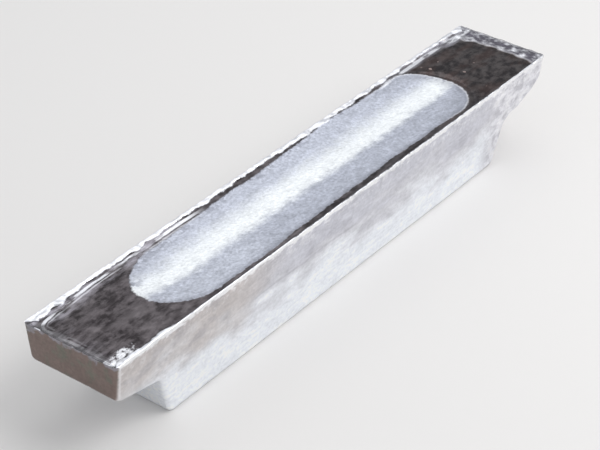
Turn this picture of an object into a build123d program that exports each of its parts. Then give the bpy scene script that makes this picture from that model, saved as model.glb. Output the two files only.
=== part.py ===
from build123d import *
import math
import os

# Sizes are in millimetres and angles in degrees. X runs along the ingot, Y across it and Z up.
# The origin is on the floor under the middle of the casting. The pour face is on top.

# Whole casting. The length and width are taken where the mould walls meet the pour face level.
LENGTH = 480.0
WIDTH = 77.0
HEIGHT = 71.5

# Draft of the mould walls. It lets the cold casting drop out of the mould.
SIDE_DRAFT = 5.0
END_DRAFT = 16.0
EAR_TIP_DRAFT = 3.0

# Lifting ears at the two ends. The reach is from the tip to the body end, and the depths are
# below the pour face, at the tip and at the body.
NEAR_EAR_REACH = 43.0
NEAR_TIP_DEPTH = 30.0
NEAR_ROOT_DEPTH = 38.0
FAR_EAR_REACH = 47.0
FAR_TIP_DEPTH = 19.0
FAR_ROOT_DEPTH = 38.0

# Rounding of the mould cavity.
NEAR_TIP_RADIUS = 7.0
FAR_TIP_RADIUS = 9.0
ROOT_RADIUS = 5.0
FOOT_RADIUS = 6.0
SIDE_RADIUS = 3.5

# Thin proud rim left round the pour face where the metal clung to the cold mould wall.
RIM_WIDTH = 2.0
RIM_HEIGHT = 1.0
RIM_CORNER = 5.0
RIM_SLOPE = 45.0
RIM_ROUNDING = 0.6
RIM_FOOT_RADIUS = 1.4

# Shrinkage hollow in the pour face, over the thick body that froze last.
HOLLOW_LENGTH = 346.0
HOLLOW_WIDTH = 68.0
HOLLOW_DEPTH = 2.6
HOLLOW_END = 44.0


def slope_run(rise, degrees):
    """Horizontal run of a wall that leans by an angle over a rise."""
    return rise * math.tan(math.radians(degrees))


def side_silhouette():
    """Side view of the casting, from the tip of one ear to the tip of the other."""
    half = LENGTH / 2
    near_root = -half + NEAR_EAR_REACH
    far_root = half - FAR_EAR_REACH
    near_foot = near_root + slope_run(HEIGHT - NEAR_ROOT_DEPTH, END_DRAFT)
    far_foot = far_root - slope_run(HEIGHT - FAR_ROOT_DEPTH, END_DRAFT)
    corners = [
        (-half, HEIGHT),
        (-half + slope_run(NEAR_TIP_DEPTH, EAR_TIP_DRAFT), HEIGHT - NEAR_TIP_DEPTH),
        (near_root, HEIGHT - NEAR_ROOT_DEPTH),
        (near_foot, 0),
        (far_foot, 0),
        (far_root, HEIGHT - FAR_ROOT_DEPTH),
        (half - slope_run(FAR_TIP_DEPTH, EAR_TIP_DRAFT), HEIGHT - FAR_TIP_DEPTH),
        (half, HEIGHT),
    ]
    radii = [
        None,
        NEAR_TIP_RADIUS,
        ROOT_RADIUS,
        FOOT_RADIUS,
        FOOT_RADIUS,
        ROOT_RADIUS,
        FAR_TIP_RADIUS,
        None,
    ]
    outline = make_face(Polyline(*corners, close=True))
    for corner, radius in zip(corners, radii):
        if radius is None:
            continue
        target = Vector(corner[0], corner[1], 0)
        nearest = min(outline.vertices(), key=lambda v: (Vector(*v) - target).length)
        outline = fillet(nearest, radius)
    return Plane.XZ * outline


def cross_section():
    """End view of the long walls, wide at the pour face and narrow at the floor."""
    top = WIDTH / 2
    foot = top - slope_run(HEIGHT, SIDE_DRAFT)
    corners = [(-foot, 0), (foot, 0), (top, HEIGHT), (-top, HEIGHT)]
    return Plane.YZ * make_face(Polyline(*corners, close=True))


def mould_cavity():
    """Everything the mould gives: drafted body, two ears and the rounded edges."""
    along = extrude(side_silhouette(), WIDTH, both=True)
    across = extrude(cross_section(), LENGTH, both=True)
    blank = along & across
    top_level = HEIGHT - 1e-3
    mould_edges = [
        edge
        for edge in blank.edges()
        if edge.center().Z < top_level and abs(edge.tangent_at(0.5).Y) < 0.9
    ]
    return fillet(mould_edges, SIDE_RADIUS)


def pour_face_recess():
    """Shallow pocket that leaves the proud rim standing round the pour face."""
    run = slope_run(RIM_HEIGHT, RIM_SLOPE)
    mouth_length = LENGTH - 2 * RIM_WIDTH
    mouth_width = WIDTH - 2 * RIM_WIDTH
    mouth = RectangleRounded(mouth_length, mouth_width, RIM_CORNER)
    floor = RectangleRounded(mouth_length - 2 * run, mouth_width - 2 * run, RIM_CORNER - run)
    upper = Pos(0, 0, HEIGHT) * mouth
    lower = Pos(0, 0, HEIGHT - RIM_HEIGHT) * floor
    pocket = loft([lower, upper])
    foot_edges = pocket.edges().group_by(Axis.Z)[0]
    return fillet(foot_edges, RIM_FOOT_RADIUS)


def shrinkage_hollow():
    """Long shallow dish with rounded ends, cut by a slender barrel that lies above the ingot.

    The barrel tapers like a parabola at both ends, so the dish's outline there is half an ellipse.
    """
    level = HEIGHT - RIM_HEIGHT
    barrel_radius = (HOLLOW_WIDTH**2 / 4 + HOLLOW_DEPTH**2) / (2 * HOLLOW_DEPTH)
    axis_height = level - HOLLOW_DEPTH + barrel_radius
    tip = HOLLOW_LENGTH / 2
    flat = tip - HOLLOW_END
    beyond = tip + HOLLOW_END
    rise = HOLLOW_DEPTH
    half_way = flat + HOLLOW_END / 2
    near_arc = ThreePointArc((-tip, level), (-half_way, level - rise * 0.75), (-flat, level - rise))
    bed = Line((-flat, level - rise), (flat, level - rise))
    far_arc = ThreePointArc((flat, level - rise), (half_way, level - rise * 0.75), (tip, level))
    far_wall = Line((tip, level), (beyond, level + 3 * rise))
    far_cap = Line((beyond, level + 3 * rise), (beyond, axis_height))
    spine = Line((beyond, axis_height), (-beyond, axis_height))
    near_cap = Line((-beyond, axis_height), (-beyond, level + 3 * rise))
    near_wall = Line((-beyond, level + 3 * rise), (-tip, level))
    half_profile = Plane.XZ * make_face([near_arc, bed, far_arc, far_wall, far_cap, spine, near_cap, near_wall])
    return revolve(half_profile, Axis((0, 0, axis_height), (1, 0, 0)), 360)


def build_ingot():
    """The finished casting as one solid."""
    casting = mould_cavity()
    casting = casting - pour_face_recess()
    rim_edges = [edge for edge in casting.edges() if edge.bounding_box().min.Z > HEIGHT - 1e-3]
    casting = fillet(rim_edges, RIM_ROUNDING)
    return casting - shrinkage_hollow()


ingot = build_ingot()
os.makedirs("parts", exist_ok=True)
export_step(ingot, "parts/ingot.step")
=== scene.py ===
"""Looks of one lead ingot cast in an open mould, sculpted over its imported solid.

Lengths are in millimetres unless a name ends in _m. X runs along the ingot from its near ear to
its far ear, Y across it and Z up. Its right side faces -Y and its left side faces +Y.
"""
import logging
import math
from dataclasses import dataclass, field
from enum import Enum

import bmesh
import bpy
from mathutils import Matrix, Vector, noise
from mathutils.bvhtree import BVHTree


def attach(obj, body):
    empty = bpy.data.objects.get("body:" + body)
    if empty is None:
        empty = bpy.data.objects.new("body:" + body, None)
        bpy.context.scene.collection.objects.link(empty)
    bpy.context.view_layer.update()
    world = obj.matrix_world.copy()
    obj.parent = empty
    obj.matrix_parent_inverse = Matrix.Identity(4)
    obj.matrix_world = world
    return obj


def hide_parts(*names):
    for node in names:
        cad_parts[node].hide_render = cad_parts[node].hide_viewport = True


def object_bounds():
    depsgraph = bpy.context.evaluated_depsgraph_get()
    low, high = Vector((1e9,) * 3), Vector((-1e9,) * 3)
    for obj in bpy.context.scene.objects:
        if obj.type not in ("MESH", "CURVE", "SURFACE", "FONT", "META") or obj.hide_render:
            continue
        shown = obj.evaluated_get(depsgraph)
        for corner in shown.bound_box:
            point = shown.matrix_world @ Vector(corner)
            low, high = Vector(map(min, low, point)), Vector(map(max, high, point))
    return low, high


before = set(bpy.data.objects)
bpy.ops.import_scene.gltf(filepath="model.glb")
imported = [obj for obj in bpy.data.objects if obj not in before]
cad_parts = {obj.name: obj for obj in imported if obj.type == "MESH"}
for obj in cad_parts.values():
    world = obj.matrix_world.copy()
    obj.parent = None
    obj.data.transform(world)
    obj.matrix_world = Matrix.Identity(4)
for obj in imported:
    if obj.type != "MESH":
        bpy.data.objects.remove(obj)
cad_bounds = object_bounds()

log = logging.getLogger("ingot")

MM = 0.001
# Least cosine between a face's normal and the way that the face is taken to look.
FACING = 0.9
# Points closer than this are taken to lie on the same level.
TOUCH = 1e-4

MATH = "ShaderNodeMath"
MIX = "ShaderNodeMix"
RAMP = "ShaderNodeMapRange"

Vert = bmesh.types.BMVert
Face = bmesh.types.BMFace
Span = tuple[float, float]
Triple = tuple[float, float, float]
Colour = tuple[float, float, float, float]
Row = tuple[float, ...]
Inputs = dict[str, object] | list[object]
# Name, size of the spots across the casting, detail, and how many times longer they are along it.
Pattern = tuple[str, float, float, float]
# Two shares, strength and sRGB hex colour.
Tint = tuple[str, str, float, str]
# Pattern, two values of it, and the brightness at each.
Shade = tuple[str, float, float, float, float]


class Axis(Enum):
    """Directions that the edges of the blocked-out casting run in."""

    ALONG = 0
    ACROSS = 1
    UP = 2


class Zone(Enum):
    """Regions of the casting's skin that take a finish of their own."""

    MOULD_SKIN = 0
    POUR_FACE = 1


class SkinLayer(Enum):
    """Values kept at each point of the pour face for its finish, in millimetres or shares."""

    FROST = "frost_mm"
    RIM = "rim_mm"
    LEFT = "left_mm"
    FOLD = "fold_share"
    LIP = "lip_share"
    CRUST = "crust_share"


class Meeting(Enum):
    """How two shares are joined before a tint is laid."""

    PRODUCT = "MULTIPLY"
    LESSER = "MINIMUM"


def srgb(hex_code: str) -> Colour:
    """Turn an sRGB hex colour into the linear colour that shaders use.

    Args:
        hex_code: Six hex digits after a hash sign.

    Returns:
        Linear red, green, blue and an alpha of one.
    """
    channels = [int(hex_code[i : i + 2], 16) / 255 for i in (1, 3, 5)]
    linear = [c / 12.92 if c <= 0.04045 else ((c + 0.055) / 1.055) ** 2.4 for c in channels]
    return (linear[0], linear[1], linear[2], 1.0)


def smooth_step(low: float, high: float, value: float) -> float:
    """Ease from 0 to 1 between two limits.

    Args:
        low: Value at which the result is 0.
        high: Value at which the result is 1. It may be less than low.
        value: Value to place between them.

    Returns:
        Eased share between 0 and 1.
    """
    share = min(max((value - low) / (high - low), 0.0), 1.0)
    return share * share * (3 - 2 * share)


def between(stations: Row, values: Row, place: float) -> float:
    """Ease between the values given at some stations along the casting.

    Args:
        stations: Rising places along X.
        values: Value at each station. The end ones go on beyond the end stations.
        place: Place to read the value at.

    Returns:
        Eased value.
    """
    if place <= stations[0]:
        return values[0]
    for index in range(len(stations) - 1):
        if place <= stations[index + 1]:
            share = smooth_step(stations[index], stations[index + 1], place)
            return values[index] + (values[index + 1] - values[index]) * share
    return values[-1]


def rounded_corner(first: float, second: float, radius: float) -> float:
    """Distance inside a corner whose lines turn in an arc.

    Args:
        first: Distance from one side of the corner.
        second: Distance from the other side.
        radius: Distance at which the arc shrinks to a point.

    Returns:
        Distance from the nearer side, or from the arc close to the corner.
    """
    if first >= radius or second >= radius:
        return min(first, second)
    return radius - math.hypot(radius - first, radius - second)


@dataclass(frozen=True)
class LeadFinish:
    """One finish of the cast lead: metal with patterns and a fine relief of its own.

    Its nodes are kept by title. A pattern runs from about 0.25 to 0.75, so one that shifts a place
    moves it by half its reach on average.
    """

    name: str
    relief: float
    patterns: tuple[Pattern, ...]
    nodes: dict[str, bpy.types.Node] = field(default_factory=dict)
    material: bpy.types.Material = field(default_factory=lambda: bpy.data.materials.new("finish"))

    def make(self) -> bpy.types.Material:
        """Build the material from Object coordinates and the casting's own attributes.

        Returns:
            The material.
        """
        self.material.name = self.name
        self.material.use_nodes = True
        self.material.node_tree.nodes.clear()
        self.lay_patterns()
        roughness = self.dress()
        relief = {"Height": "height", "Strength": 1.0, "Distance": self.relief * MM}
        self.add("bump", "ShaderNodeBump", relief)
        skin = {"Base Color": "colour", "Roughness": roughness, "Normal": "bump", "Metallic": 1.0}
        self.add("skin", "ShaderNodeBsdfPrincipled", skin)
        self.add("output", "ShaderNodeOutputMaterial", {"Surface": "skin"})
        return self.material

    def dress(self) -> str | float:
        """Add the colour and the height, and give the roughness or the title of its node."""
        raise NotImplementedError

    def add(self, title: str, kind: str, inputs: Inputs, **settings: object) -> None:
        """Add a node with its settings, values and incoming links.

        Args:
            title: Title to keep the node under. A later node of the same title takes its place.
            kind: Blender's name of the node type.
            inputs: Plain values or names of the outputs that feed it, by input name or in order.
            **settings: Properties of the node itself.
        """
        tree = self.material.node_tree
        node = tree.nodes.new(kind)
        for name, value in settings.items():
            setattr(node, name, value)
        for name, value in inputs.items() if isinstance(inputs, dict) else enumerate(inputs):
            if isinstance(value, str):
                tree.links.new(self.output(value), node.inputs[name])
            else:
                node.inputs[name].default_value = value
        self.nodes[title] = node

    def output(self, name: str) -> bpy.types.NodeSocket:
        """Find an output of a node.

        Args:
            name: The node's title for its first output that is on, or a name such as axes.X.

        Returns:
            The output.
        """
        title, _, label = name.partition(".")
        outputs = self.nodes[title].outputs
        return outputs[label] if label else next(socket for socket in outputs if socket.enabled)

    def lay_patterns(self) -> None:
        """Lay the patterns on the casting, each at its real size, and split its place in axes."""
        self.add("place", "ShaderNodeTexCoord", {})
        self.add("axes", "ShaderNodeSeparateXYZ", ["place.Object"])
        for title, size, detail, stretch in self.patterns:
            across = 1 / (size * MM)
            scale = (across / stretch, across, across)
            self.add("spread", "ShaderNodeMapping", {"Vector": "place.Object", "Scale": scale})
            looks = {"Vector": "spread", "Scale": 1.0, "Detail": detail, "Roughness": 0.6}
            self.add(title, "ShaderNodeTexNoise", looks)

    def lay_tints(
        self, title: str, base: str | Colour, tints: tuple[Tint, ...], meeting: Meeting
    ) -> None:
        """Lay tints over a colour one after another, each where two shares meet.

        Args:
            title: Title to keep the colour under.
            base: Colour to start from, or its title.
            tints: The two shares, the strength and the sRGB hex colour of each tint.
            meeting: How the two shares are joined.
        """
        for first, second, strength, tint in tints:
            self.add("both", MATH, [first, second], operation=meeting.value)
            self.add("part", MATH, ["both", strength], operation="MULTIPLY")
            self.add(title, MIX, {"Factor": "part", "A": base, "B": srgb(tint)}, data_type="RGBA")
            base = title

    def shade(self, title: str, shades: tuple[Shade, ...], strength: str | float = 1.0) -> None:
        """Darken and brighten a colour along some patterns.

        Args:
            title: Title of the colour, before and after.
            shades: Each pattern, two values of it, and the brightness at the one and the other.
            strength: How far the shades show, as a share or the name of one.
        """
        for source, low, high, first, last in shades:
            ramp = {"Value": source, "From Min": low, "From Max": high}
            self.add("shade", RAMP, {**ramp, "To Min": first, "To Max": last})
            layers = {"Factor": strength, "A": title, "B": "shade"}
            self.add(title, MIX, layers, data_type="RGBA", blend_type="MULTIPLY")


@dataclass(frozen=True)
class PourFaceFinish(LeadFinish):
    """Open-poured soft lead: frosted crystals on the slow-cooled body, glassy film on the ears."""

    name: str = "open_poured_soft_lead"
    relief: float = 0.2
    # Crystals and grain are drawn at about 2 mm, twice as coarse as on the metal, so they show.
    patterns: tuple[Pattern, ...] = (
        ("fringe", 3.0, 3.0, 1.0),
        ("grain", 2.0, 3.0, 1.0),
        ("patch", 5.5, 3.0, 1.3),
        ("drift", 26.0, 2.0, 1.5),
        ("swirl", 13.0, 4.0, 2.2),
        ("streak", 4.2, 4.0, 3.4),
        ("dash", 9.0, 3.0, 2.6),
        ("speck", 6.0, 1.0, 1.0),
        ("jag", 2.4, 2.0, 1.6),
        ("lump", 3.2, 4.0, 1.3),
        ("foil", 8.0, 5.0, 0.8),
    )
    crystal_size: float = 2.1
    # Frost is a felt of tiny crystal facets, so it scatters light and looks near white with a lilac
    # cast. Its white crown along the hollow is a painted highlight. The right flank is painted
    # darker as shade, paler towards the near end, and the grey verge is painted shade along the
    # outline.
    frost_crown_highlight: str = "#fafdff"
    frost_left: str = "#cdd1dd"
    frost_right_shade: str = "#c6cad6"
    frost_near: str = "#dadee8"
    frost_verge_shade: str = "#9a9da8"
    frost_roughness: float = 0.5
    # The film froze at once against thin metal. Its dark brown is partly oxide and partly a painted
    # dark reflection of the room.
    # Pale swirls, blotches and streaks on the near ear and rings round the frost on the far half
    # are painted reflections; mud, rust and a few bright specks lie on the far ear.
    film_oxide_and_dark_reflection: str = "#2c282a"
    film_painted_reflection: str = "#7b7578"
    # Painted sheen: lilac-white streaks beside the left rim, and a lighter gap on the far ear.
    film_painted_sheen: str = "#b3b0ba"
    film_mud: str = "#676160"
    film_rust: str = "#5a453f"
    film_speck: str = "#c9b3ad"
    film_roughness: float = 0.14
    # Rim, folds, crust and far lip are bare metal, torn open when the skin froze. It is bright
    # where it is torn. The lip's crumples are painted: lit patches, and painted shade in between.
    bare_metal: str = "#eeeff4"
    bare_painted_shade: str = "#625f69"
    bare_roughness: float = 0.3
    # How far a pattern frays the outline of the frost, the rings round it, the rim and the folds.
    frost_fray: float = 3.0
    ring_fray: float = 5.0
    rim_fray: float = 2.2
    fold_fray: float = 1.0
    # Distance over which the film turns from dark to pale in the rings round the frost.
    ring_width: float = 2.2
    # Centre line, half width and strength of each cold fold, and how softly they end.
    fold_lines: tuple[Triple, ...] = ((7.4, 1.4, 1.0), (11.2, 0.6, 0.45))
    fold_outer: float = 0.5
    fold_inner: float = 0.4
    # Weight of the crust's share beside the lumps that break it up.
    crust_weight: float = 0.5
    # How much of its grain the frost's crown, a painted highlight, loses.
    crown_calm: float = 0.5
    # Weight of the streaks and of the lip's crumples in the relief, beside the crystals.
    streak_height: float = 1.6
    crumple_height: float = 4.0

    def dress(self) -> str:
        """Lay the frost over the film, and the bare metal over both.

        Returns:
            Title of the roughness.
        """
        for layer in SkinLayer:
            self.add(layer.value, "ShaderNodeAttribute", {}, attribute_name=layer.value)
        cells = {"Vector": "place.Object", "Scale": 1 / (self.crystal_size * MM)}
        self.add("crystals", "ShaderNodeTexVoronoi", cells)
        self._add_frost()
        self._add_film()
        self._add_bare_metal()
        for title, share, below, above, kind in (
            ("face", "frost", "film_colour", "frost_colour", "RGBA"),
            ("colour", "bare", "face", "bare_colour", "RGBA"),
            ("gloss", "frost", self.film_roughness, self.frost_roughness, "FLOAT"),
            ("roughness", "bare", "gloss", self.bare_roughness, "FLOAT"),
        ):
            self.add(title, MIX, {"Factor": share, "A": below, "B": above}, data_type=kind)
        for title, operation, *values in (
            ("felt", "ADD", "crystals.Distance", "grain"),
            ("frosted", "MULTIPLY", "felt", "frost"),
            ("streaks", "MULTIPLY_ADD", "streak", self.streak_height, "frosted"),
            ("crumples", "MULTIPLY", "foil", "lip_share.Fac"),
            ("height", "MULTIPLY_ADD", "crumples", self.crumple_height, "streaks"),
        ):
            self.add(title, MATH, values, operation=operation)
        return "roughness"

    def _add_frost(self) -> None:
        """Add the share and colour of the frost: painted crown highlight, lilac flanks, painted
        shade, grain.
        """
        frayed = ["fringe", self.frost_fray, "frost_mm.Fac"]
        self.add("frayed", MATH, frayed, operation="MULTIPLY_ADD")
        self.add("drifted", MATH, ["drift", 8 * MM, "axes.Y"], operation="MULTIPLY_ADD")
        self.add("across", MATH, ["patch", 10 * MM, "drifted"], operation="MULTIPLY_ADD")
        for title, source, low, high in (
            ("frost", "frayed", 0.8, 2.4),
            ("right_shoulder", "across", -1.5 * MM, 7.5 * MM),
            ("left_shoulder", "across", 31.0 * MM, 12.0 * MM),
            ("left", "across", 3.0 * MM, 12.0 * MM),
            ("right", "across", 12.0 * MM, -12.0 * MM),
            ("near_end", "axes.X", -60 * MM, -100 * MM),
            ("far_end", "axes.X", 100 * MM, 146 * MM),
            ("verge", "frost_mm.Fac", 5.5, 0.6),
            ("wide_verge", "frost_mm.Fac", 9.0, 1.5),
            ("nose", "frost_mm.Fac", 16.0, 3.0),
            ("outline", "frost_mm.Fac", 1.8, 0.6),
            ("mottle", "patch", 0.49, 0.6),
        ):
            ramp = {"Value": source, "From Min": low, "From Max": high}
            self.add(title, RAMP, ramp, interpolation_type="SMOOTHSTEP")
        # The crown is a painted highlight along the hollow's middle; the right flank is painted
        # darker as shade.
        self.add("crown_highlight", MATH, ["right_shoulder", "left_shoulder"], operation="MULTIPLY")
        self.add("left_mottle", MATH, ["left", "mottle"], operation="MULTIPLY")
        flank = {"Factor": "left", "A": srgb(self.frost_right_shade), "B": srgb(self.frost_left)}
        self.add("flank", MIX, flank, data_type="RGBA")
        crowned = {"Factor": "crown_highlight", "A": "flank", "B": srgb(self.frost_crown_highlight)}
        self.add("frost_colour", MIX, crowned, data_type="RGBA")
        # Painted shade on the right flank, paler near the near end, and along the verge, mottled on
        # the left and round the far nose; a thin painted highlight runs along the far outline.
        tints = (
            ("near_end", "right", 0.5, self.frost_near),
            ("verge", "right", 0.5, self.frost_verge_shade),
            ("wide_verge", "left_mottle", 0.75, self.frost_verge_shade),
            ("far_end", "nose", 0.4, self.frost_verge_shade),
            ("far_end", "outline", 0.7, self.bare_metal),
        )
        self.lay_tints("frost_colour", "frost_colour", tints, Meeting.PRODUCT)
        self.add("contrast", MATH, ["crown_highlight", -self.crown_calm, 1.0], operation="MULTIPLY_ADD")
        self.add("cell", "ShaderNodeSeparateColor", ["crystals.Color"])
        shades = (
            ("grain", 0.3, 0.7, 0.8, 1.12),
            ("patch", 0.3, 0.7, 0.84, 1.09),
            ("drift", 0.3, 0.7, 1.03, 0.96),
            ("cell", 0.0, 1.0, 0.9, 1.05),
        )
        self.shade("frost_colour", shades, "contrast")

    def _add_film(self) -> None:
        """Add the film's colour: dark, with painted reflections on the near ear, and mud on the far
        one.
        """
        self.add("rings", MATH, ["patch", self.ring_fray, "frost_mm.Fac"], operation="MULTIPLY_ADD")
        self.add("ring", MATH, ["rings", self.ring_width], operation="PINGPONG")
        for title, source, low, high in (
            ("far_ear", "axes.X", 100 * MM, 160 * MM),
            ("swirled", "swirl", 0.47, 0.66),
            ("blotched", "patch", 0.46, 0.64),
            ("streaked", "streak", 0.44, 0.68),
            ("muddy", "patch", 0.6, 0.38),
            ("beside_rim", "left_mm.Fac", 22.0, 8.0),
            ("rusty", "swirl", 0.46, 0.6),
            ("specked", "speck", 0.72, 0.76),
            ("ringed", "ring", 0.8, 2.2),
            ("round_frost", "frost_mm.Fac", -9.0, -3.0),
        ):
            self.add(title, RAMP, {"Value": source, "From Min": low, "From Max": high})
        self.add("near_ear", MATH, [1.0, "far_ear"], operation="SUBTRACT")
        self.add("far_rings", MATH, ["round_frost", "far_ear"], operation="MULTIPLY")
        # Painted sheen beside the left rim, where the folds show.
        self.add("painted_sheen", MATH, ["beside_rim", "fold_share.Fac"], operation="MULTIPLY")
        # Painted reflections: pale swirls, blotches and streaks on the near ear and rings round the
        # frost on the far half; painted sheen beside the left rim and in the far gap.
        tints = (
            ("swirled", "near_ear", 0.42, self.film_painted_reflection),
            ("muddy", "far_ear", 0.7, self.film_mud),
            ("blotched", "near_ear", 0.35, self.film_painted_reflection),
            ("streaked", "near_ear", 0.35, self.film_painted_reflection),
            ("streaked", "painted_sheen", 0.75, self.film_painted_sheen),
            ("far_ear", "painted_sheen", 0.35, self.film_painted_sheen),
            ("rusty", "far_ear", 0.4, self.film_rust),
            ("ringed", "far_rings", 0.3, self.film_painted_reflection),
            ("specked", "far_ear", 0.75, self.film_speck),
        )
        self.lay_tints("film_colour", srgb(self.film_oxide_and_dark_reflection), tints, Meeting.PRODUCT)

    def _add_bare_metal(self) -> None:
        """Add the share and colour of the bare metal: torn rim, cold folds, crust and lip with
        painted shade.
        """
        for title, *values in (
            ("rim_place", "jag", self.rim_fray, "rim_mm.Fac"),
            ("fold_place", "jag", self.fold_fray, "left_mm.Fac"),
            ("crumbs", "crust_share.Fac", self.crust_weight, "lump"),
        ):
            self.add(title, MATH, values, operation="MULTIPLY_ADD")
        for title, source, low, high in (
            ("bare", "rim_place", 0.7, 1.5),
            ("broken", "dash", 0.41, 0.54),
            ("crust", "crumbs", 0.78, 1.0),
            ("lit", "foil", 0.43, 0.67),
        ):
            self.add(title, RAMP, {"Value": source, "From Min": low, "From Max": high})
        self.add("folded", MATH, ["fold_share.Fac", "broken"], operation="MULTIPLY")
        for line, half, strength in self.fold_lines:
            self.add("off", MATH, ["fold_place", line], operation="SUBTRACT")
            self.add("gap", MATH, ["off"], operation="ABSOLUTE")
            ends = {"From Min": half + self.fold_outer, "From Max": half - self.fold_inner}
            self.add("ridge", RAMP, {"Value": "gap", "To Max": strength, **ends})
            self.add("fold", MATH, ["ridge", "folded"], operation="MULTIPLY")
            self.add("bare", MATH, ["bare", "fold"], operation="MAXIMUM")
        # The lip takes painted shade wherever neither a lit patch nor bare rim or fold is.
        for title, operation, *values in (
            ("bright", "MAXIMUM", "lit", "bare"),
            ("dull", "SUBTRACT", 1.0, "bright"),
            ("lip_painted_shade", "MULTIPLY", "dull", "lip_share.Fac"),
            ("crusted", "MAXIMUM", "bare", "crust"),
        ):
            self.add(title, MATH, values, operation=operation)
        tones = {"A": srgb(self.bare_metal), "B": srgb(self.bare_painted_shade)}
        self.add("bare_colour", MIX, {"Factor": "lip_painted_shade", **tones}, data_type="RGBA")
        self.add("bare", MATH, ["crusted", "lip_share.Fac"], operation="MAXIMUM", use_clamp=True)


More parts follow.
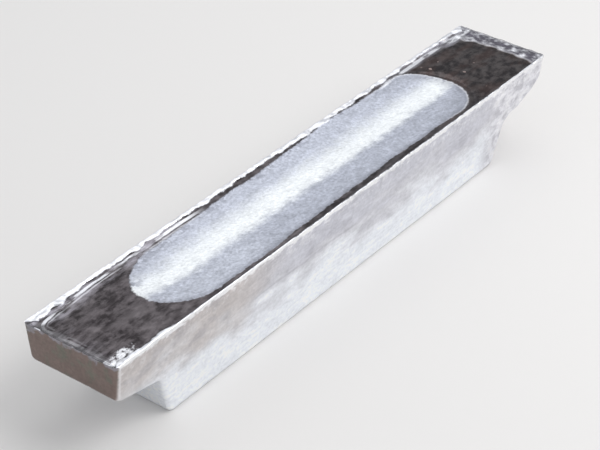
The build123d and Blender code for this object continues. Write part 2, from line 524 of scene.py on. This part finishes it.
@dataclass(frozen=True)
class MouldSkinFinish(LeadFinish):
    """Chill-cast lead skin: satin, taken from the mould wall, with faint flow lines along it."""

    name: str = "chill_cast_lead_skin"
    relief: float = 0.06
    patterns: tuple[Pattern, ...] = (
        ("cloud", 32.0, 3.0, 2.4),
        ("patch", 9.0, 3.0, 1.6),
        ("flow", 2.6, 3.0, 22.0),
        ("grain", 2.2, 3.0, 1.4),
        ("jag", 3.2, 2.0, 2.2),
        ("crinkle", 7.0, 4.0, 1.3),
        ("speck", 4.0, 4.0, 1.2),
        ("smudge", 11.0, 4.0, 1.8),
    )
    # The side is painted lighter low down and darker in a band at ear height: a painted reflection
    # of the ground in the satin skin, warm near the near ear and cooler from there on. The wrinkled
    # far ear is brighter.
    skin_low_painted_light: str = "#f7faff"
    skin_high_painted_reflection: str = "#d2cdcc"
    skin_middle_painted_reflection: str = "#d8dbe6"
    skin_far: str = "#ececf1"
    # The tip faces are painted a darker brown-grey as shade, with olive-grey patches.
    tip_painted_shade: str = "#897b76"
    tip_shade_olive: str = "#7d7f75"
    # Smudges and the seam are duller, and the far ear's creases take painted shade. The arrises are
    # bright, partly rubbed metal and partly painted highlight, and the same colour paints a
    # highlight down the rounded corners and glints on the far ear's crinkles.
    smudge_and_crease_shade: str = "#a6a5ae"
    arris: str = "#fbfbfd"
    roughness: float = 0.5
    # Height of the faint seam where the pour paused.
    seam_level: float = 51.0
    # Weight of the far ear's crinkles in the relief, beside the grain.
    crinkle_height: float = 12.0

    def dress(self) -> float:
        """Tint the skin with painted reflection bands, the seam, arrises and corners with painted
        highlights, and tips in painted shade, and shade it by its grain.

        Returns:
            Roughness.
        """
        self._add_places()
        # The bands are painted reflection: lighter low down, darker high up.
        bands = {"Factor": "high", "A": srgb(self.skin_low_painted_light), "B": srgb(self.skin_high_painted_reflection)}
        self.add("colour", MIX, bands, data_type="RGBA")
        tints = (
            ("middle", "high", 0.7, self.skin_middle_painted_reflection),
            ("high", "smudged", 0.3, self.smudge_and_crease_shade),
            ("far", "far", 1.0, self.skin_far),
            # Painted shade in the far ear's creases and painted glints on its crinkles.
            ("far", "creased", 0.5, self.smudge_and_crease_shade),
            ("far", "glint", 0.6, self.arris),
            ("seam", "seam_span", 0.28, self.smudge_and_crease_shade),
            ("below_arris", "specked", 0.5, self.arris),
            # Bright arrises, partly painted highlight, and a painted highlight down the rounded
            # corners.
            ("arris", "arris", 1.0, self.arris),
            ("corner", "corner", 0.4, self.arris),
            # Painted shade on the tips, with olive-grey patches.
            ("tip", "tip", 1.0, self.tip_painted_shade),
            ("tip", "smudged", 0.8, self.tip_shade_olive),
            ("tip", "run_over", 0.7, self.smudge_and_crease_shade),
        )
        self.lay_tints("colour", "colour", tints, Meeting.LESSER)
        shades = (
            ("patch", 0.3, 0.7, 0.93, 1.07),
            ("flow", 0.35, 0.65, 0.96, 1.04),
            ("grain", 0.3, 0.7, 0.91, 1.08),
        )
        self.shade("colour", shades)
        self.add("fine", MATH, ["grain", "flow"], operation="ADD")
        self.add("crinkles", MATH, ["crinkle", "far"], operation="MULTIPLY")
        height = ["crinkles", self.crinkle_height, "fine"]
        self.add("height", MATH, height, operation="MULTIPLY_ADD")
        return self.roughness

    def _add_places(self) -> None:
        """Add the shares of the skin's bands, seam, arrises and tips, and of the marks on them."""
        for title, operation, *values in (
            ("band_level", "MULTIPLY_ADD", "cloud", 80 * MM, "axes.Z"),
            ("edge_level", "MULTIPLY_ADD", "jag", 9 * MM, "axes.Z"),
            ("run_over_level", "MULTIPLY_ADD", "crinkle", 18 * MM, "axes.Z"),
            ("seam_level", "MULTIPLY_ADD", "cloud", 14 * MM, "axes.Z"),
            ("off_seam", "SUBTRACT", "seam_level", self.seam_level * MM),
            ("beside_seam", "ABSOLUTE", "off_seam"),
            ("reach", "ABSOLUTE", "axes.X"),
        ):
            self.add(title, MATH, values, operation=operation)
        for title, source, low, high in (
            # The band that takes the darker painted reflection.
            ("high", "band_level", 64 * MM, 96 * MM),
            ("middle", "axes.X", -130 * MM, -60 * MM),
            ("far", "axes.X", 158 * MM, 186 * MM),
            # Creases that take painted shade and crinkle tops that take painted glints.
            ("creased", "crinkle", 0.44, 0.66),
            ("glint", "crinkle", 0.46, 0.34),
            ("arris", "edge_level", 71.4 * MM, 73.8 * MM),
            ("below_arris", "axes.Z", 54 * MM, 68 * MM),
            ("specked", "speck", 0.53, 0.68),
            ("smudged", "smudge", 0.5, 0.66),
            ("seam", "beside_seam", 1.8 * MM, 0.2 * MM),
            ("seam_start", "axes.X", -118 * MM, -96 * MM),
            ("seam_end", "axes.X", 12 * MM, -12 * MM),
            # Rounded corners that take a painted highlight.
            ("corner", "reach", 234.4 * MM, 236.0 * MM),
            ("tip", "reach", 236.4 * MM, 238.4 * MM),
            ("run_over", "run_over_level", 76.6 * MM, 78.6 * MM),
        ):
            ramp = {"Value": source, "From Min": low, "From Max": high}
            self.add(title, RAMP, ramp, interpolation_type="SMOOTHSTEP")
        self.add("seam_span", MATH, ["seam_start", "seam_end"], operation="MINIMUM")


@dataclass(frozen=True)
class Waves:
    """Fractal noise whose longest wave has a real length along X, Y and Z.

    Each octave after the first adds waves half as long as the last. The seed picks another
    stretch of the same noise.
    """

    length: Triple
    octaves: int
    seed: float

    def at(self, point: Vector) -> float:
        """Sample the noise at a point.

        Args:
            point: Point of the casting.

        Returns:
            Value from about -1 to 1.
        """
        x, y, z = (place / length for place, length in zip(point, self.length))
        scaled = Vector((x + self.seed, y - self.seed, z + 2 * self.seed))
        return noise.fractal(scaled, 1.0, 2.0, self.octaves, noise_basis="PERLIN_ORIGINAL")


@dataclass(frozen=True)
class PourSpot:
    """One point of the pour face, with its distances from the left side, from the nearer side,
    from the tip of its ear and from the outline of the frost, positive inside it.
    """

    place: Vector
    left: float
    side: float
    tip: float
    frost: float

    @property
    def near(self) -> bool:
        """Whether the point is on the near half."""
        return self.place.x < 0

    @property
    def edge(self) -> float:
        """Distance from the nearest outer edge."""
        return min(self.tip, self.side)


@dataclass(frozen=True)
class FrostPatch:
    """Patch of frost over the shrinkage hollow, with a slight verge along its outline."""

    near_tip: float = -175.5
    far_tip: float = 165.0
    near_run: float = 39.0
    # The far end is blunter on its left half.
    right_run: float = 32.0
    left_run: float = 22.0
    run_blend: float = 12.0
    stations: Row = (-130.0, -90.0, -60.0, -10.0, 30.0, 60.0, 102.0, 130.0)
    right: Row = (-33.8, -34.0, -33.0, -31.6, -31.2, -31.2, -32.0, -34.4)
    left: Row = (28.8, 29.6, 31.2, 30.8, 33.4, 34.6, 32.8, 32.6)
    waver: Waves = Waves((30, 15, 30), 3, 5.1)
    waver_reach: float = 1.2
    verge_height: float = 0.22
    verge_half: float = 1.3
    verge_span: Span = (2.0, 5.0)

    def distance(self, place: Vector) -> float:
        """Measure how far inside the outline of the frost a place lies.

        Args:
            place: Place on the pour face.

        Returns:
            Distance from the outline, negative outside it.
        """
        right = between(self.stations, self.right, place.x)
        left = between(self.stations, self.left, place.x)
        middle = (left + right) / 2
        half = (left - right) / 2
        if place.x < 0:
            run_out = (self.near_tip + self.near_run - place.x) / self.near_run
        else:
            leftward = smooth_step(middle - self.run_blend, middle + self.run_blend, place.y)
            run = self.right_run + (self.left_run - self.right_run) * leftward
            run_out = (place.x - self.far_tip + run) / run
        radius = math.hypot(max(run_out, 0.0), (place.y - middle) / half)
        return (1 - radius) * half + self.waver_reach * self.waver.at(place)

    def lift(self, spot: PourSpot) -> float:
        """Height of the verge at a spot."""
        crest = math.exp(-((spot.frost / self.verge_half) ** 2))
        return self.verge_height * crest * smooth_step(*self.verge_span, spot.edge)


@dataclass(frozen=True)
class TornRim:
    """Bare proud rim where metal clung to the mould wall: wide on the left, thin on the right."""

    stations: Row = (
        -235.0, -215.0, -200.0, -180.0, -150.0, -110.0, -60.0,
        0.0, 30.0, 60.0, 140.0, 185.0, 225.0, 233.0,
    )
    left: Row = (6.3, 5.4, 3.8, 2.8, 4.2, 3.0, 3.6, 3.4, 4.4, 4.4, 3.2, 3.0, 3.2, 7.0)
    right: Row = (3.6, 3.2, 3.6, 1.4, 1.3, 1.3, 0.9, 0.7, 0.7, 0.7, 0.9, 0.9, 1.5, 1.7)
    waver: Waves = Waves((10, 16, 30), 3, 1.3)
    waver_share: float = 0.5
    # Along the tips the rim is bare only in patches.
    tip_waver: Waves = Waves((7, 7, 30), 2, 4.2)
    tip_least: float = -0.8
    tip_swing: float = 2.6
    # Share of the full height that the tear leaves standing.
    tear: Waves = Waves((9, 9, 30), 4, 1.3)
    tear_mean: float = 0.8
    tear_swing: float = 0.7
    tear_least: float = 0.25
    near_tip_width: float = 4.0
    near_tip_share: float = 0.5
    proud_least: float = 1.6
    foot_outer: float = 0.5
    foot_inner: float = 1.0
    # The outermost edge is rounded off.
    arris_drop: float = 0.35
    arris_width: float = 0.6

    def reach(self, spot: PourSpot) -> float:
        """Find how wide the bare rim is beside a spot.

        Args:
            spot: The point of the pour face.

        Returns:
            Width of the rim.
        """
        if spot.tip < spot.side:
            reach = self.tip_least + self.tip_swing * max(self.tip_waver.at(spot.place), 0.0)
        else:
            widths = self.left if spot.place.y > 0 else self.right
            reach = between(self.stations, widths, spot.place.x)
        return reach * (1 + self.waver_share * self.waver.at(spot.place))

    def lift(self, spot: PourSpot, reach: float, height: float) -> float:
        """Height of the torn rim at a spot.

        Args:
            spot: The point of the pour face.
            reach: Width of the bare rim there.
            height: Full height of the rim.

        Returns:
            Height over the pour level.
        """
        torn = self.tear_mean + self.tear_swing * self.tear.at(spot.place)
        torn = min(max(torn, self.tear_least), 1.0)
        if spot.near and spot.tip < min(spot.left, self.near_tip_width):
            torn *= self.near_tip_share
        proud = max(reach, self.proud_least)
        foot = smooth_step(proud + self.foot_outer, proud - self.foot_inner, spot.edge)
        arris = self.arris_drop * smooth_step(self.arris_width, 0.0, spot.edge)
        return height * torn * foot - arris


@dataclass(frozen=True)
class ColdFolds:
    """Cold folds beside the left rim, where the skin of the pour wrinkled as it froze."""

    # Distance of the first fold from the left side, and how wide the folds are drawn.
    stations: Row = (-235.0, -210.0, -180.0, -150.0, 150.0, 200.0, 212.0, 230.0)
    first: Row = (9.4, 8.2, 6.2, 5.8, 6.4, 6.0, 6.8, 8.4)
    spread: Row = (0.8, 0.75, 0.7, 0.8, 1.2, 1.2, 2.0, 2.3)
    # Place across the folds at which the finish draws the first one.
    drawn_first: float = 6.9
    # At the near tip the folds turn the corner, and they fade along the tip.
    tip_gap: float = 4.2
    corner_radius: float = 16.0
    tip_span: Span = (-6.0, 2.0)
    tip_loss: float = 0.82
    waver: Waves = Waves((28, 11, 30), 3, 3.3)
    waver_reach: float = 0.9
    corner_waver: float = 1.6
    corner_span: Span = (-200.0, -228.0)
    # Where the folds show along the casting, and how far from the side at the far end.
    near_span: Span = (-72.0, -96.0)
    far_span: Span = (112.0, 135.0)
    far_across: Span = (10.2, 9.4)
    # Ridges of the folds, between the rim and the frost.
    ridge: Waves = Waves((26, 3.4, 30), 2, 3.3)
    ridge_height: float = 0.3
    ridge_across: Span = (13.0, 8.0)
    ridge_frost: Span = (2.0, -3.0)

    def place_and_share(self, spot: PourSpot) -> Span:
        """Where a spot lies across the folds, and how far they show there.

        Args:
            spot: The point of the pour face.

        Returns:
            Place across the folds, as the finish draws them, and the share that shows.
        """
        along = spot.place.x
        across = spot.left - between(self.stations, self.first, along)
        across = self.drawn_first + across / between(self.stations, self.spread, along)
        shown = 1.0
        if spot.near:
            bend = spot.tip + self.tip_gap
            shown -= self.tip_loss * smooth_step(*self.tip_span, across - bend)
            across = rounded_corner(across, bend, self.corner_radius)
        reach = self.waver_reach + self.corner_waver * smooth_step(*self.corner_span, along)
        across += reach * self.waver.at(spot.place)
        far = smooth_step(*self.far_span, along) * smooth_step(*self.far_across, across)
        return across, shown * smooth_step(*self.near_span, along) + far

    def lift(self, spot: PourSpot) -> float:
        """Find how high the ridges of the folds are.

        Args:
            spot: The point of the pour face.

        Returns:
            Height at the spot.
        """
        zone = smooth_step(*self.ridge_across, spot.left)
        zone *= smooth_step(*self.ridge_frost, spot.frost)
        return self.ridge_height * zone * self.ridge.at(spot.place)


@dataclass(frozen=True)
class CrumpledLip:
    """Lip of bare, crumpled metal across the far tip, and only a trace of it on the near one."""

    near_depth: float = 4.5
    far_depth: float = 13.6
    # The far lip bulges inward close to its left corner.
    lobe_depth: float = 4.0
    lobe_centre: float = 17.0
    lobe_half: float = 6.0
    waver: Waves = Waves((30, 13, 30), 3, 8.2)
    waver_reach: float = 3.6
    fade: float = 1.5
    near_share: float = 0.08
    # The lip gives way to the rounded edge at the very tip.
    tip_span: Span = (2.4, 0.6)
    tip_loss: float = 0.6
    crumple: Waves = Waves((9, 8, 30), 3, 13.1)
    crumple_least: float = 0.25
    crumple_swing: float = 0.9
    near_height: float = 0.25

    def share(self, spot: PourSpot) -> float:
        """Find how much of the skin is lip.

        Args:
            spot: The point of the pour face.

        Returns:
            Share at the spot.
        """
        if spot.near:
            depth, most = self.near_depth, self.near_share
        else:
            lobe = math.exp(-(((spot.left - self.lobe_centre) / self.lobe_half) ** 2))
            depth = self.far_depth + self.lobe_depth * lobe
            most = 1.0 - self.tip_loss * smooth_step(*self.tip_span, spot.tip)
        depth += self.waver_reach * self.waver.at(spot.place)
        return most * smooth_step(depth + self.fade, depth - self.fade, spot.tip)

    def lift(self, spot: PourSpot, share: float) -> float:
        """Height of the crumples at a spot with some share of lip."""
        crumple = self.crumple_least + self.crumple_swing * abs(self.crumple.at(spot.place))
        return share * (self.near_height if spot.near else 1.0) * crumple


@dataclass(frozen=True)
class CornerCrust:
    """Crust of crumbs in the near right corner, where the metal was skimmed."""

    most: float = 0.85
    tip_span: Span = (35.0, 17.0)
    side_span: Span = (-22.5, -30.0)
    crumbs: Waves = Waves((5, 5, 30), 3, 9.4)
    height: float = 0.5

    def share(self, spot: PourSpot) -> float:
        """Find how much of the skin is crust.

        Args:
            spot: The point of the pour face.

        Returns:
            Share at the spot.
        """
        if not spot.near:
            return 0.0
        along = smooth_step(*self.tip_span, spot.tip)
        return self.most * along * smooth_step(*self.side_span, spot.place.y)

    def lift(self, spot: PourSpot, share: float) -> float:
        """Height of the crumbs at a spot with some share of crust."""
        return self.height * share * max(self.crumbs.at(spot.place), 0.0)


@dataclass(frozen=True)
class MouldWall:
    """Relief of the mould skin: swells, flow lines, pits, and the far ear's wrinkles and lumps."""

    swell: Waves = Waves((80, 40, 26), 2, 2.2)
    swell_height: float = 0.22
    flow: Waves = Waves((60, 30, 3.2), 3, 6.6)
    flow_height: float = 0.07
    wrinkle: Waves = Waves((16, 12, 7), 3, 4.4)
    wrinkle_depth: float = 0.55
    wrinkle_along: Span = (175.0, 205.0)
    wrinkle_up: Span = (30.0, 40.0)
    # The far ear's underside is swollen and lumpy.
    lump: Waves = Waves((11, 14, 9), 3, 5.9)
    lump_mean: float = 1.6
    lump_swing: float = 0.8
    lump_start: Span = (198.0, 210.0)
    lump_end: Span = (238.0, 226.0)
    pit: Waves = Waves((4, 4, 4), 2, 7.7)
    pit_span: Span = (0.55, 0.8)
    pit_depth: float = 0.35
    # The relief dies out over this height at the pour face and at the base.
    clear_height: float = 3.0

    def push(self, place: Vector, out: Vector, height: float) -> float:
        """How far the skin stands out at a place.

        Args:
            place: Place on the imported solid.
            out: Direction that the skin faces there.
            height: Height of the whole casting.

        Returns:
            Distance outward.
        """
        zone = smooth_step(*self.wrinkle_along, place.x) * smooth_step(*self.wrinkle_up, place.z)
        under = smooth_step(*self.lump_start, place.x) * smooth_step(*self.lump_end, place.x)
        push = self.swell_height * self.swell.at(place)
        push += (self.lump_mean + self.lump_swing * self.lump.at(place)) * under * max(-out.z, 0.0)
        push += self.flow_height * self.flow.at(place)
        push -= self.wrinkle_depth * abs(self.wrinkle.at(place)) * zone
        push -= self.pit_depth * smooth_step(*self.pit_span, self.pit.at(place))
        push *= smooth_step(0.0, self.clear_height, height - place.z)
        return push * smooth_step(0.0, self.clear_height, place.z)


@dataclass
class IngotCasting:
    """The whole casting: drafted body, two lifting ears and the open pour face."""

    length: float = 480.0
    width: float = 77.0
    height: float = 71.5
    near_reach: float = 43.0
    near_tip_depth: float = 30.0
    far_reach: float = 47.0
    far_tip_depth: float = 19.0
    root_depth: float = 38.0
    side_draft: float = 5.0
    end_draft: float = 16.0
    tip_draft: float = 3.0
    rim_height: float = 1.0
    hollow_length: float = 346.0
    hollow_width: float = 68.0
    hollow_depth: float = 2.6
    hollow_end: float = 44.0
    # Cuts across the runs of the blocked-out shape. They leave faces of about 1 mm.
    near_cuts: int = 55
    body_cuts: int = 370
    far_cuts: int = 59
    ear_cuts: int = 23
    foot_cuts: int = 17
    across_cuts: int = 75
    # Share of even spacing in the grid. The rest crowds its lines towards the rims and the tips.
    even_across: float = 0.3
    even_along_ears: float = 0.58
    # Rounds of merging that thin out the flat base.
    base_rounds: int = 4
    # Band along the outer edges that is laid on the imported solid, with its rim.
    edge_band: float = 5.0
    # The pour face sank a little in slow ripples inside its edge.
    ripple: Waves = Waves((22, 12, 20), 3, 3.7)
    ripple_depth: float = 0.12
    ripple_span: Span = (0.5, 4.0)
    frost: FrostPatch = FrostPatch()
    rim: TornRim = TornRim()
    folds: ColdFolds = ColdFolds()
    lip: CrumpledLip = CrumpledLip()
    crust: CornerCrust = CornerCrust()
    wall: MouldWall = MouldWall()
    mesh: bmesh.types.BMesh = field(default_factory=bmesh.new)

    @property
    def near_root(self) -> float:
        """Place along the casting at which the near ear meets the body."""
        return -self.length / 2 + self.near_reach

    @property
    def far_root(self) -> float:
        """Place along the casting at which the far ear meets the body."""
        return self.length / 2 - self.far_reach

    def build(self) -> bpy.types.Object:
        """Model the casting, sculpt its skin and dress it.

        Returns:
            The finished piece, at the origin, in metres.
        """
        mesh = self.mesh
        for layer in SkinLayer:
            mesh.verts.layers.float.new(layer.value)
        self._block_out()
        self._refine()
        self._spread_lines()
        top = self._mark_zones()
        self._settle_on_solid(top)
        self._sculpt(top)
        self._keep_in_box()
        bmesh.ops.scale(mesh, vec=(MM, MM, MM), verts=mesh.verts)
        data = bpy.data.meshes.new("lead_casting")
        mesh.to_mesh(data)
        mesh.free()
        # Only the base, which lies flat on the floor, is shaded flat.
        smooth = [face.normal.z > -1 + TOUCH for face in data.polygons]
        data.polygons.foreach_set("use_smooth", smooth)
        piece = bpy.data.objects.new("lead_casting", data)
        bpy.context.scene.collection.objects.link(piece)
        data.materials.append(MouldSkinFinish().make())
        data.materials.append(PourFaceFinish().make())
        return piece

    def _block_out(self) -> None:
        """Make the few faces of the body, the ears and the foot."""
        mesh = self.mesh
        body_length = self.far_root - self.near_root
        bmesh.ops.create_cube(mesh, size=1.0)
        bmesh.ops.translate(mesh, vec=(0.5, 0, -0.5), verts=mesh.verts)
        bmesh.ops.scale(mesh, vec=(body_length, self.width, self.root_depth), verts=mesh.verts)
        bmesh.ops.translate(mesh, vec=(self.near_root, 0, self.height), verts=mesh.verts)
        self._pull(Vector((-1, 0, 0)), Vector((-self.near_reach, 0, 0)))
        self._pull(Vector((1, 0, 0)), Vector((self.far_reach, 0, 0)))
        foot = [
            face
            for face in mesh.faces
            if face.normal.z < -FACING
            and self.near_root < face.calc_center_median().x < self.far_root
        ]
        down = Vector((0, 0, -1))
        self._pull(down, down * (self.height - self.root_depth), foot)
        lean = math.tan(math.radians(self.tip_draft))
        run = (self.height - self.root_depth) * math.tan(math.radians(self.end_draft))
        for vert in mesh.verts:
            under = vert.co.z < self.height - TOUCH
            if vert.co.z < TOUCH:
                vert.co.x -= math.copysign(run, vert.co.x)
            elif under and vert.co.x < self.near_root - TOUCH:
                vert.co.z += self.root_depth - self.near_tip_depth
                vert.co.x += self.near_tip_depth * lean
            elif under and vert.co.x > self.far_root + TOUCH:
                vert.co.z += self.root_depth - self.far_tip_depth
                vert.co.x -= self.far_tip_depth * lean

    def _pull(self, facing: Vector, move: Vector, faces: list[Face] | None = None) -> None:
        """Extrude the faces that look one way.

        Args:
            facing: Direction that the faces look in.
            move: How far the new faces go.
            faces: The faces, where not every face that looks that way is meant.
        """
        mesh = self.mesh
        mesh.normal_update()
        chosen = faces or [face for face in mesh.faces if face.normal.dot(facing) > FACING]
        result = bmesh.ops.extrude_face_region(mesh, geom=chosen)
        moved = [item for item in result["geom"] if isinstance(item, Vert)]
        bmesh.ops.translate(mesh, vec=move, verts=moved)
        bmesh.ops.delete(mesh, geom=chosen, context="FACES_ONLY")
        mesh.normal_update()

    def _refine(self) -> None:
        """Cut the blocked-out faces into a fine grid of four-sided faces."""
        ear_level = self.height - self.root_depth
        runs = (
            (Axis.ALONG, lambda c: c.x < self.near_root, self.near_cuts),
            (Axis.ALONG, lambda c: self.near_root < c.x < self.far_root, self.body_cuts),
            (Axis.ALONG, lambda c: c.x > self.far_root, self.far_cuts),
            (Axis.UP, lambda c: c.z > ear_level, self.ear_cuts),
            (Axis.UP, lambda c: c.z < ear_level, self.foot_cuts),
            (Axis.ACROSS, lambda c: True, self.across_cuts),
        )
        for axis, inside, cuts in runs:
            chosen = []
            for edge in self.mesh.edges:
                span = edge.verts[1].co - edge.verts[0].co
                middle = (edge.verts[0].co + edge.verts[1].co) / 2
                lengths = [abs(span.x), abs(span.y), abs(span.z)]
                if lengths.index(max(lengths)) == axis.value and inside(middle):
                    chosen.append(edge)
            bmesh.ops.subdivide_edges(self.mesh, edges=chosen, cuts=cuts, use_grid_fill=True)
        log.info("grid of %d faces", len(self.mesh.faces))

    def _spread_lines(self) -> None:
        """Crowd the grid lines near the rims, tips and arrises, and lean the long walls in."""
        half = self.length / 2
        half_width = self.width / 2
        lean = math.tan(math.radians(self.side_draft))
        for vert in self.mesh.verts:
            share = vert.co.y / half_width
            crowded = math.sin(math.pi / 2 * share)
            share = self.even_across * share + (1 - self.even_across) * crowded
            vert.co.y = half_width * share
            for reach, side in ((self.near_reach, -1), (self.far_reach, 1)):
                inward = half - side * vert.co.x
                if 0 <= inward < reach:
                    part = inward / reach
                    even = self.even_along_ears
                    vert.co.x = side * (half - reach * (even * part + (1 - even) * part * part))
            vert.co.y *= 1 - lean * (self.height - vert.co.z) / half_width

    def _mark_zones(self) -> list[Vert]:
        """Give the faces their finish and thin out the flat base.

        Returns:
            The vertices of the pour face.
        """
        self.mesh.normal_update()
        for face in self.mesh.faces:
            zone = Zone.POUR_FACE if face.normal.z > FACING else Zone.MOULD_SKIN
            face.material_index = zone.value
        base = [
            vert
            for vert in self.mesh.verts
            if vert.co.z < TOUCH and all(face.normal.z < -FACING for face in vert.link_faces)
        ]
        bmesh.ops.unsubdivide(self.mesh, verts=base, iterations=self.base_rounds)
        return [vert for vert in self.mesh.verts if vert.co.z > self.height - TOUCH]

    def _hollowed_level(self, place: Vector) -> float:
        """Find the level of the pour face inside its rim, where it sinks into the hollow.

        Args:
            place: Place on the pour face.

        Returns:
            Height over the base.
        """
        flat = self.hollow_length / 2 - self.hollow_end
        run_out = max(abs(place.x) - flat, 0.0) / self.hollow_end
        centre = self.hollow_depth * (1 - run_out**2)
        depth = centre - self.hollow_depth * (place.y / (self.hollow_width / 2)) ** 2
        return self.height - self.rim_height - max(depth, 0.0)

    def _settle_on_solid(self, top: list[Vert]) -> None:
        """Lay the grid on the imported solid, so that its fillets and rim come with it.

        Args:
            top: Vertices of the pour face.
        """
        solid = bmesh.new()
        solid.from_mesh(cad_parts["ingot"].data)
        bmesh.ops.scale(solid, vec=(1 / MM, 1 / MM, 1 / MM), verts=solid.verts)
        bmesh.ops.remove_doubles(solid, verts=solid.verts, dist=TOUCH)
        tree = BVHTree.FromBMesh(solid)
        inner_length = self.length / 2 - self.edge_band
        inner_width = self.width / 2 - self.edge_band
        inner = {
            vert for vert in top if abs(vert.co.x) < inner_length and abs(vert.co.y) < inner_width
        }
        for vert in self.mesh.verts:
            if vert in inner:
                vert.co.z = self._hollowed_level(vert.co)
            else:
                vert.co = tree.find_nearest(vert.co)[0]
        solid.free()

    def _sculpt(self, top: list[Vert]) -> None:
        """Add the marks of pouring and cooling, and note them for the finishes.

        Args:
            top: Vertices of the pour face.
        """
        layers = {layer: self.mesh.verts.layers.float[layer.value] for layer in SkinLayer}
        self.mesh.normal_update()
        pour_face = set(top)
        for vert in self.mesh.verts:
            if vert in pour_face:
                self._sculpt_pour_face(vert, layers)
            elif vert.co.z > TOUCH or vert.normal.z > -FACING:
                push = self.wall.push(vert.co, vert.normal, self.height)
                vert.co += vert.normal * push

    def _sculpt_pour_face(
        self, vert: Vert, layers: dict[SkinLayer, bmesh.types.BMLayerItem]
    ) -> None:
        """Shape one point of the pour face, and note its marks for the finish.

        Args:
            vert: Point to shape.
            layers: Layers that keep the finish's values.
        """
        place = vert.co.copy()
        spot = PourSpot(
            place=place,
            left=self.width / 2 - place.y,
            side=self.width / 2 - abs(place.y),
            tip=self.length / 2 - abs(place.x),
            frost=self.frost.distance(place),
        )
        reach = self.rim.reach(spot)
        across, folded = self.folds.place_and_share(spot)
        lip = self.lip.share(spot)
        crust = self.crust.share(spot)
        for layer, value in (
            (SkinLayer.FROST, spot.frost),
            (SkinLayer.RIM, reach - spot.edge),
            (SkinLayer.LEFT, across),
            (SkinLayer.FOLD, folded),
            (SkinLayer.LIP, lip),
            (SkinLayer.CRUST, crust),
        ):
            vert[layers[layer]] = value
        sunk = self.ripple_depth * (1 + self.ripple.at(place))
        lift = self.rim.lift(spot, reach, self.rim_height) + self.folds.lift(spot)
        lift = max(lift, self.lip.lift(spot, lip)) + self.crust.lift(spot, crust)
        lift -= sunk * smooth_step(*self.ripple_span, spot.edge)
        lift += self.frost.lift(spot)
        vert.co.z = min(place.z, self.height - self.rim_height) + lift

    def _keep_in_box(self) -> None:
        """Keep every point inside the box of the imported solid."""
        low, high = ([value / MM for value in corner] for corner in cad_bounds)
        for vert in self.mesh.verts:
            for axis in range(3):
                vert.co[axis] = min(max(vert.co[axis], low[axis]), high[axis])


@dataclass(frozen=True)
class Softbox:
    """Soft rectangular lamp that faces the ingot, with its power in watts."""

    name: str
    place_m: Triple
    size_m: Span
    power: float

    def hang(self) -> None:
        """Hang the lamp."""
        data = bpy.data.lights.new(self.name, "AREA")
        data.shape = "RECTANGLE"
        data.size, data.size_y = self.size_m
        data.energy = self.power
        lamp = bpy.data.objects.new(self.name, data)
        lamp.location = self.place_m
        lamp.rotation_euler = (-Vector(self.place_m)).to_track_quat("-Z", "Y").to_euler()
        bpy.context.scene.collection.objects.link(lamp)


@dataclass(frozen=True)
class Studio:
    """Pale floor, soft lamps and the camera at the photograph's viewing angle."""

    camera_place_m: Triple = (-0.895, -0.681, 0.792)
    camera_aim_m: Triple = (-0.012, 0.0, 0.036)
    view_width_deg: float = 17.4
    floor_half_m: float = 6.0
    floor_colour: str = "#e4e2e0"
    floor_roughness: float = 0.8
    world_colour: str = "#eff1f4"
    world_strength: float = 0.74
    lamps: tuple[Softbox, ...] = (
        Softbox("overhead_softbox", (0.7, 0.35, 1.25), (1.6, 1.2), 4.0),
        Softbox("side_softbox", (0.5, -0.9, 1.3), (1.1, 0.9), 12.0),
    )

    def build(self) -> None:
        """Set up the floor, the light and the camera."""
        self._floor()
        self._world()
        for lamp in self.lamps:
            lamp.hang()
        self._camera()
        bpy.context.scene.view_settings.view_transform = "Standard"

    def _floor(self) -> None:
        """Lay a large plain floor under the ingot."""
        mesh = bmesh.new()
        bmesh.ops.create_grid(mesh, x_segments=1, y_segments=1, size=self.floor_half_m)
        data = bpy.data.meshes.new("floor")
        mesh.to_mesh(data)
        mesh.free()
        floor = bpy.data.objects.new("floor", data)
        bpy.context.scene.collection.objects.link(floor)
        material = bpy.data.materials.new("matt_studio_floor")
        material.use_nodes = True
        shader = material.node_tree.nodes["Principled BSDF"]
        shader.inputs["Base Color"].default_value = srgb(self.floor_colour)
        shader.inputs["Roughness"].default_value = self.floor_roughness
        data.materials.append(material)

    def _world(self) -> None:
        """Fill the room with even pale light."""
        world = bpy.data.worlds.new("studio")
        world.use_nodes = True
        background = world.node_tree.nodes["Background"]
        background.inputs["Color"].default_value = srgb(self.world_colour)
        background.inputs["Strength"].default_value = self.world_strength
        bpy.context.scene.world = world

    def _camera(self) -> None:
        """Place the camera where the photograph was taken from, with a longer lens."""
        data = bpy.data.cameras.new("camera")
        data.angle_x = math.radians(self.view_width_deg)
        camera = bpy.data.objects.new("camera", data)
        camera.location = self.camera_place_m
        aim = Vector(self.camera_aim_m) - Vector(self.camera_place_m)
        camera.rotation_euler = aim.to_track_quat("-Z", "Y").to_euler()
        bpy.context.scene.collection.objects.link(camera)
        bpy.context.scene.camera = camera


def main() -> None:
    """Build the casting, hide the imported solid, attach the casting to the root body and build the
    studio.
    """
    logging.basicConfig(level=logging.INFO)
    casting = IngotCasting().build()
    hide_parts("ingot")
    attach(casting, "root")
    log.info("%s: %d faces", casting.name, len(casting.data.polygons))
    Studio().build()


if __name__ == "__main__":
    main()
